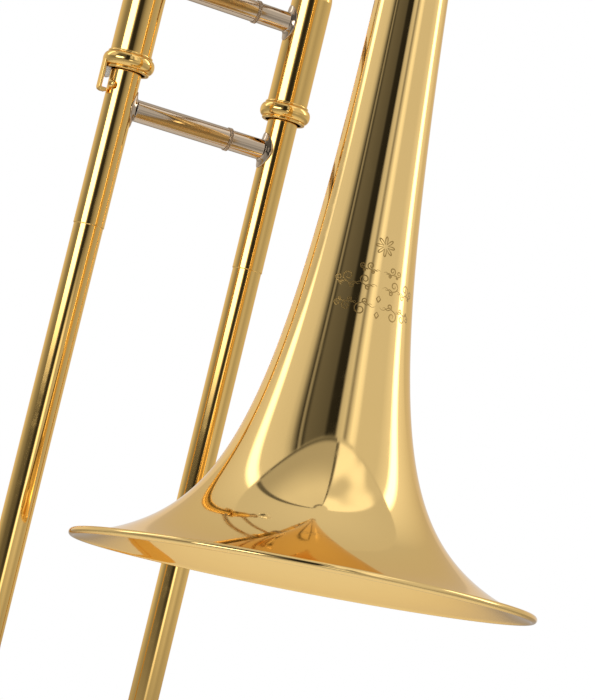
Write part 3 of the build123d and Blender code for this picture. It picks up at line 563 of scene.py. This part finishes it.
def slide_brace(name, body, level, tube_radius):
    """A two-part slide brace between M and N, with its beaded joint ring and flanges."""
    reach = tube_radius + flange_sheet + 2 * solder_gap
    length = slide_spacing - 2 * reach
    joint = length * joint_share
    axis = stand((reach - slide_spacing, 0, level), (0, 1, 0), (1, 0, 0))
    turned(f"{name}_wide_half", [
        (slide_brace_radius, 0, 0.1), (slide_brace_radius, joint, 0.1),
        (slide_brace_radius - brace_wall, joint, 0.0), (slide_brace_radius - brace_wall, 0, 0.0),
    ], axis, body, "nickel_silver", nickel, f"{name}_tube")
    turned(f"{name}_slim_half", [
        (sleeve_radius, joint, 0.1), (sleeve_radius, length, 0.1),
        (sleeve_radius - brace_wall, length, 0.0), (sleeve_radius - brace_wall, joint, 0.0),
    ], axis, body, "nickel_silver", nickel, f"{name}_sleeve")
    crest = slide_brace_radius + ring_proud
    middle = joint + ring_width / 2
    ring = eased([
        (sleeve_radius + solder_gap, joint, 0.0), (crest, joint, 0.15),
        (crest, joint + ring_rib - 0.07, 0.12), (crest - ring_groove, joint + ring_rib, 0.05),
        (crest - ring_groove, joint + ring_width - ring_rib, 0.05),
        (crest, joint + ring_width - ring_rib + 0.07, 0.12), (crest, joint + ring_width, 0.15),
        (sleeve_radius + solder_gap, joint + ring_width, 0.0),
    ])
    points, faces = turning(ring, axis, 128)
    pearls, skins = beads(axis, middle, crest - 0.32, pearl_radius, pearls_round)
    faces += [tuple(corner + len(points) for corner in face) for face in skins]
    points += pearls
    piece(f"{name}_joint_ring", body, "nickel_silver", nickel, points, faces, f"{name}_ring")

    def round_tube(height):
        return tube_radius

    leaf_pair(f"{name}_leaves", body, f"{name}_flanges", [
        (m_axis, level, round_tube, slide_brace_radius), (n_axis, level, round_tube, sleeve_radius)])


oversleeve_radius = 7.5
hand_brace_level = -69.8
outer_brace_level = -134.4
slide_brace("hand_brace", "inner_slide", hand_brace_level, barrel_radius)
slide_brace("outer_brace", "outer_slide", outer_brace_level, oversleeve_radius)

repaint(nickel, "lower_brace_tube", "upper_brace_tube", "lower_brace_flanges", "upper_brace_flanges")

# ---- Outer slide tubes and oversleeves ---------------------------------------------
# Thin drawn brass tubes, each with a short oversleeve soldered over its upper end,
# which ends in a small bead at the top and a soldered step at the bottom.

outer_radius = 7.2
outer_low, outer_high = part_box("outer_tube_n")
outer_foot = outer_low.z / mm
outer_top = outer_high.z / mm
sleeve_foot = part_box("oversleeve_n")[0].z / mm
outer_bore = 6.83
sleeve_seat = 0.01
sleeve_ring = 0.8

tube_corners = [
    (outer_bore, outer_foot, 0.0), (outer_radius, outer_foot, 0.05),
    (outer_radius, outer_top, 0.05), (outer_bore, outer_top, 0.0),
]
sleeve_corners = [
    (outer_radius + sleeve_seat, sleeve_foot, 0.0), (oversleeve_radius - 0.12, sleeve_foot, 0.08),
    (oversleeve_radius + 0.06, sleeve_foot + 0.35, 0.2), (oversleeve_radius, sleeve_foot + 1.0, 0.3),
    (oversleeve_radius, outer_top - 3.0, 0.4), (oversleeve_radius + sleeve_ring, outer_top - 2.1, 0.5),
    (oversleeve_radius + sleeve_ring, outer_top - 0.9, 0.5), (oversleeve_radius, outer_top, 0.3),
    (outer_radius + sleeve_seat, outer_top, 0.0),
]
for letter, axis in (("m", m_axis), ("n", n_axis)):
    turned(f"slide_tube_{letter}", tube_corners, axis, "outer_slide", "lacquered_brass", slide_brass,
           f"outer_tube_{letter}")
    turned(f"slide_sleeve_{letter}", sleeve_corners, axis, "outer_slide", "lacquered_brass",
           slide_brass, f"oversleeve_{letter}")

# ---- Slide lock --------------------------------------------------------------------
# The mouthpiece side's ring turns on its barrel. A bent brass strip hangs from it and
# hooks under a stud on the outer slide, with a white nylon pad that stops the rattle.

hook_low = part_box("slide_lock_ring")[0].z / mm
hook_inside = 11.0
hook_outside = 12.4
hook_half_width = 2.3
foot_thickness = 1.8
hook_round = 1.6
hook_corner = 0.5
pad_outside = 10.98
pad_half_width = 2.1
foot_tip = 8.3
pad_low, pad_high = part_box("slide_lock_pad")


def slab(name, corners, half_width, ease, axis, body, slot, finish, *nodes):
    """A strip cut to a side outline of (x, height) corners, with its edges eased."""
    points = []
    for side in (-half_width, half_width):
        points += [axis @ (Vector((x, side, height)) * mm) for x, height in corners]
    count = len(corners)
    faces = [tuple(range(count)), tuple(reversed(range(count, 2 * count)))]
    for index in range(count):
        after = (index + 1) % count
        faces.append((index, after, count + after, count + index))
    made = piece(name, body, slot, finish, points, faces, *nodes)
    easing = made.modifiers.new("eased_edges", "BEVEL")
    easing.width = ease * mm
    easing.segments = 4
    easing.limit_method = "ANGLE"
    made.modifiers.move(1, 0)
    return made


turned("slide_lock_bead_ring", ring_corners(barrel_radius + 0.05), m_axis, "slide_lock",
       "lacquered_brass", slide_brass, "slide_lock_ring")
hook_top = ring_level - 1.0
slab("slide_lock_hook", [
    (-hook_inside, hook_top), (-hook_outside, hook_top), (-hook_outside, hook_low + hook_round),
    (-hook_outside + hook_corner, hook_low + hook_corner), (-hook_outside + hook_round, hook_low),
    (-foot_tip, hook_low), (-foot_tip, hook_low + foot_thickness),
    (-hook_inside, hook_low + foot_thickness),
], hook_half_width, 0.35, m_axis, "slide_lock", "lacquered_brass", slide_brass)
white_nylon, nylon_shader, nylon_start, nylon_place = blank_finish("white_nylon")
nylon_haze = nylon_start.node("ShaderNodeTexNoise", {}, {"Vector": nylon_place, "Scale": 900.0})
nylon_tone = nylon_start.node("ShaderNodeMix", {"data_type": "RGBA"},
                              {0: nylon_haze, 6: (0.86, 0.85, 0.81, 1), 7: (0.78, 0.76, 0.70, 1)}, 2)
into(nylon_shader, "Base Color", nylon_tone)
into(nylon_shader, "Roughness", nylon_haze * 0.15 + 0.32)
slab("slide_lock_nylon", [
    (-pad_outside, pad_high.z / mm), (-foot_tip, pad_high.z / mm),
    (-foot_tip, pad_low.z / mm), (-pad_outside, pad_low.z / mm),
], pad_half_width, 0.5, m_axis, "slide_lock", "white_nylon", white_nylon, "slide_lock_pad")
repaint(slide_brass, "slide_lock_stud")

# ---- Inner slide tubes and receivers -----------------------------------------------
# Two plated tubes that the outer slide runs on. A turned receiver and a bare brass
# leadpipe take the mouthpiece, and a threaded one takes the bell section.

plated = polished("plated_inner_tube", (0.83, 0.83, 0.84), (0.76, 0.76, 0.77), 0.06, 0.06, 0.0)
repaint(plated, "inner_tube_m", "inner_tube_n")
repaint(raw_brass, "leadpipe")
repaint(nickel, "mouthpiece_receiver", "slide_receiver", "lock_nut")

# ---- Mouthpiece --------------------------------------------------------------------
# Turned from brass bar, with a rounded rim, a cup and a tapered shank, then silver
# plated. Its shank only pushes into the leadpipe.

silver = polished("silver_plate", (0.93, 0.92, 0.90), (0.88, 0.86, 0.82), 0.04, 0.05, 0.0)
repaint(silver, "mouthpiece")

# ---- Tuning slide and slide bow ----------------------------------------------------
# Bows bent from brass tube, with nickel silver ferrules and a guard soldered along the
# outside of each, where they rest. The tuning slide has a brace between its legs.

repaint(slide_brass, "tuning_bow", "slide_bow")
repaint(nickel, "tuning_leg_neck", "tuning_leg_bell", "tuning_ferrule_neck", "tuning_ferrule_bell",
        "tuning_brace", "tuning_bow_guard", "slide_bow_ferrules", "slide_bow_guard", "bumper_cup")

# ---- Water key ---------------------------------------------------------------------
# A nickel silver lever on a screw through two posts. A steel spring presses its cork
# on the nipple's hole, so the slide stays tight until the player lets water out.

steel = polished("blued_steel", (0.50, 0.50, 0.52), (0.40, 0.40, 0.43), 0.18, 0.1, 0.0)
repaint(steel, "water_key_screw", "water_key_spring")
repaint(nickel, "water_key_nipple", "water_key_saddle", "water_key_lever")

# ---- Corks and bumper --------------------------------------------------------------
# Natural cork seals the water key and cushions the slide inside the barrels. A black
# rubber foot is pressed into the cup at the bow's lowest point.

cork, cork_shader, cork_start, cork_place = blank_finish("cork")
cork_cells = cork_start.node("ShaderNodeTexVoronoi", {"feature": "F1"},
                             {"Vector": cork_place, "Scale": 1400.0})
cork_drift = cork_start.node("ShaderNodeTexNoise", {}, {"Vector": cork_place, "Scale": 300.0})
cork_tone = cork_start.node("ShaderNodeMix", {"data_type": "RGBA"},
                            {0: cork_cells * 0.6 + cork_drift * 0.5, 6: (0.50, 0.31, 0.16, 1),
                             7: (0.20, 0.11, 0.05, 1)}, 2)
into(cork_shader, "Base Color", cork_tone)
into(cork_shader, "Roughness", cork_drift * 0.2 + 0.7)
into(cork_shader, "Normal", cork_start.node("ShaderNodeBump", {}, {
    "Height": cork_cells, "Strength": 0.6, "Distance": 1e-4}))
rubber, rubber_shader, rubber_start, rubber_place = blank_finish("black_rubber")
rubber_grain = rubber_start.node("ShaderNodeTexNoise", {},
                                 {"Vector": rubber_place, "Scale": 1600.0, "Detail": 4.0})
rubber_dust = rubber_start.node("ShaderNodeTexNoise", {}, {"Vector": rubber_place, "Scale": 160.0})
rubber_tone = rubber_start.node("ShaderNodeMix", {"data_type": "RGBA"},
                                {0: rubber_dust, 6: (0.012, 0.012, 0.013, 1),
                                 7: (0.035, 0.034, 0.032, 1)}, 2)
into(rubber_shader, "Base Color", rubber_tone)
into(rubber_shader, "Roughness", rubber_grain * 0.2 + 0.5)
into(rubber_shader, "Normal", rubber_start.node("ShaderNodeBump", {}, {
    "Height": rubber_grain, "Strength": 0.35, "Distance": 5e-5}))
repaint(cork, "barrel_corks", "water_key_cork")
repaint(rubber, "bumper")

# ---- Studio ------------------------------------------------------------------------
# A pale floor that fades into a white surround, low enough for the slide at its
# longest. Broad soft panels with a dark gap between them give the metal its stripes.

scene = bpy.context.scene
scene.view_settings.view_transform = "Standard"
world = bpy.data.worlds.new("studio")
scene.world = world
world.use_nodes = True
sky = world.node_tree
sky.nodes.clear()
air = Shade(sky)
ray = air.node("ShaderNodeTexCoord", {}, {}, "Generated")
brightest = 8.0


def toward(vector):
    """How far a ray of light points along a vector."""
    return air.node("ShaderNodeVectorMath", {"operation": "DOT_PRODUCT"},
                    {0: ray, 1: tuple(vector)}, "Value")


right = Vector((math.cos(view_bearing), -math.sin(view_bearing), 0))
turn_share = air.math("ARCTAN2", toward(right), toward(facing)) / (2 * math.pi) + 0.5
lift = air.math("ARCSINE", toward((0, 0, 1))) * (180 / math.pi)


def band(stops):
    """Brightness round the studio, from stops of (degrees from the camera, brightness)."""
    grey = [(0.5 + degrees / 360, (value / brightest,) * 3) for degrees, value in stops]
    return air.node("ShaderNodeValToRGB", {"stops": grey}, {0: turn_share})


upper = band([
    (-180, 0.62), (-150, 0.66), (-126, 0.76), (-114, 0.82), (-109, 2.6), (-102, 2.6), (-97, 0.80),
    (-70, 0.74), (-62, 0.55), (-57, 0.24), (-52, 0.03), (-49, 0.38), (-45, 0.05), (-40, 0.15),
    (-14, 0.11), (-9, 0.025), (5, 0.02), (9, 0.62), (17, 0.74), (22, 0.24), (27, 0.72), (33, 1.2),
    (39, 1.05), (44, 0.72), (80, 0.72), (98, 0.95), (103, 3.4), (110, 3.4), (115, 0.98),
    (150, 0.62), (180, 0.62)])
lower = band([
    (-180, 0.80), (-140, 0.85), (-112, 0.60), (-88, 0.34), (-74, 0.26), (-58, 0.30), (-54, 4.2),
    (-25, 4.2), (-20, 0.9), (-13, 0.10), (-8, 0.03), (8, 0.03), (15, 0.18), (30, 0.40), (55, 0.60),
    (78, 0.46), (104, 0.56), (140, 0.70), (180, 0.80)])
lowest = band([
    (-180, 0.80), (-140, 0.85), (-112, 0.60), (-88, 0.34), (-70, 0.26), (-52, 0.14), (-26, 0.12),
    (-14, 0.04), (-2, 0.03), (4, 0.20), (9, 1.9), (17, 1.7), (24, 0.55), (55, 0.72),
    (78, 0.46), (104, 0.56), (140, 0.70), (180, 0.80)])


def between(wire, low, high):
    """0 below low, 1 above high, with a soft step between them."""
    return air.node("ShaderNodeMapRange", {"interpolation_type": "SMOOTHSTEP"},
                    {"Value": wire, "From Min": low, "From Max": high})


def mixed(share, first, second):
    return air.node("ShaderNodeMix", {"data_type": "RGBA"}, {0: share, 6: first, 7: second}, 2)


def grey_tone(value):
    return (value / brightest, value / brightest, value / brightest, 1)


bearing = turn_share * 360 - 180
level_walls = mixed(between(lift, 0.5, 5.5), lowest, lower)
walls = mixed(between(lift, 15.0, 17.0), level_walls, upper)
window_foot = 51.0
window_head = 86.0
left_window = between(bearing, -100, -97) * (1 - between(bearing, 10, 11))
left_outline = between(bearing, -106, -103) * (1 - between(bearing, 14, 16)) - left_window
right_window = between(bearing, 15, 18) * (1 - between(bearing, 94, 100))
rows = between(lift, window_foot, window_foot + 1.5) * (1 - between(lift, window_head, window_head + 1))
row_outline = (between(lift, window_foot - 1.5, window_foot)
               * (1 - between(lift, window_head + 1, window_head + 2)) - rows)
cloud = air.node("ShaderNodeTexNoise", {}, {"Vector": ray, "Scale": 2.4, "Detail": 1.0})
left_glow = mixed(between(lift, 56.0, 76.0), grey_tone(0.45), grey_tone(1.0))
left_pane = mixed(cloud * 0.7, left_glow, grey_tone(0.5))
right_pane = mixed(between(cloud, 0.42, 0.60), grey_tone(0.70), grey_tone(1.25))
ceiling = mixed(between(lift, 52.0, 86.0), grey_tone(0.66), grey_tone(0.74))
with_left = mixed(left_window * rows, ceiling, left_pane)
with_right = mixed(right_window * rows, with_left, right_pane)
frames = left_outline * rows + left_window * row_outline
roof = mixed(frames, with_right, grey_tone(0.12))
studio = mixed(between(lift, window_foot - 1.5, window_foot), walls, roof)
below = mixed(between(lift, -8.0, -3.0), grey_tone(0.42), studio)
seen = air.node("ShaderNodeLightPath", {}, {}, "Is Camera Ray")
backdrop = mixed(seen, below, grey_tone(1.0))
glow = air.node("ShaderNodeBackground", {}, {"Color": backdrop, "Strength": brightest},
                "Background")
surround = sky.nodes.new("ShaderNodeOutputWorld")
sky.links.new(glow.socket, surround.inputs["Surface"])

slide_travel = 0.6
floor_low = cad_box[0].z - slide_travel - 0.0005
floor_reach = 4.0
floor_turns = 96
floor_mesh = bpy.data.meshes.new("floor")
floor_points = []
floor_faces = []
for ring in range(2):
    for turn in range(floor_turns):
        angle = 2 * math.pi * turn / floor_turns
        floor_points.append((floor_reach * ring * math.cos(angle),
                             floor_reach * ring * math.sin(angle), floor_low))
for turn in range(floor_turns):
    after = (turn + 1) % floor_turns
    floor_faces.append((turn, after, floor_turns + after, floor_turns + turn))
floor_mesh.from_pydata(floor_points, [], floor_faces)
floor = bpy.data.objects.new("floor", floor_mesh)
scene.collection.objects.link(floor)
pale, pale_shader, pale_start, pale_place = blank_finish("pale_floor")
pale_reach = pale_start.node("ShaderNodeVectorMath", {"operation": "LENGTH"}, {0: pale_place}, "Value")
pale_mottle = pale_start.node("ShaderNodeTexNoise", {}, {"Vector": pale_place, "Scale": 9.0})
into(pale_shader, "Base Color", pale_start.node("ShaderNodeMix", {"data_type": "RGBA"}, {
    0: pale_mottle, 6: (0.94, 0.94, 0.935, 1), 7: (0.91, 0.91, 0.905, 1)}, 2))
into(pale_shader, "Alpha", pale_start.node("ShaderNodeMapRange", {"interpolation_type": "SMOOTHSTEP"}, {
    "Value": pale_reach, "From Min": 1.3, "From Max": 3.9, "To Min": 1.0, "To Max": 0.0}))
pale_shader.inputs["Roughness"].default_value = 0.6
pale_shader.inputs["Emission Color"].default_value = (1, 1, 1, 1)
pale_shader.inputs["Emission Strength"].default_value = 0.18
floor_mesh.materials.append(pale)

# ---- Camera ------------------------------------------------------------------------
# Level with the bell's stem and close in, looking slightly up and leaning to one side.

view_place = (-0.40569, -0.97207, -0.29355)
view_lens = 110.225
view_rise = math.radians(3.657)
view_roll = math.radians(13.477)
forward = -facing * math.cos(view_rise) + Vector((0, 0, math.sin(view_rise)))
level_up = right.cross(forward)
camera_right = right * math.cos(view_roll) + level_up * math.sin(view_roll)
camera_up = -right * math.sin(view_roll) + level_up * math.cos(view_roll)
camera_data = bpy.data.cameras.new("camera")
camera_data.lens = view_lens
camera_data.sensor_width = 36.0
camera_data.clip_start = 0.05
camera = bpy.data.objects.new("camera", camera_data)
camera.matrix_world = Matrix.Translation(view_place) @ Matrix(
    (camera_right, camera_up, -forward)).transposed().to_4x4()
scene.collection.objects.link(camera)
scene.camera = camera
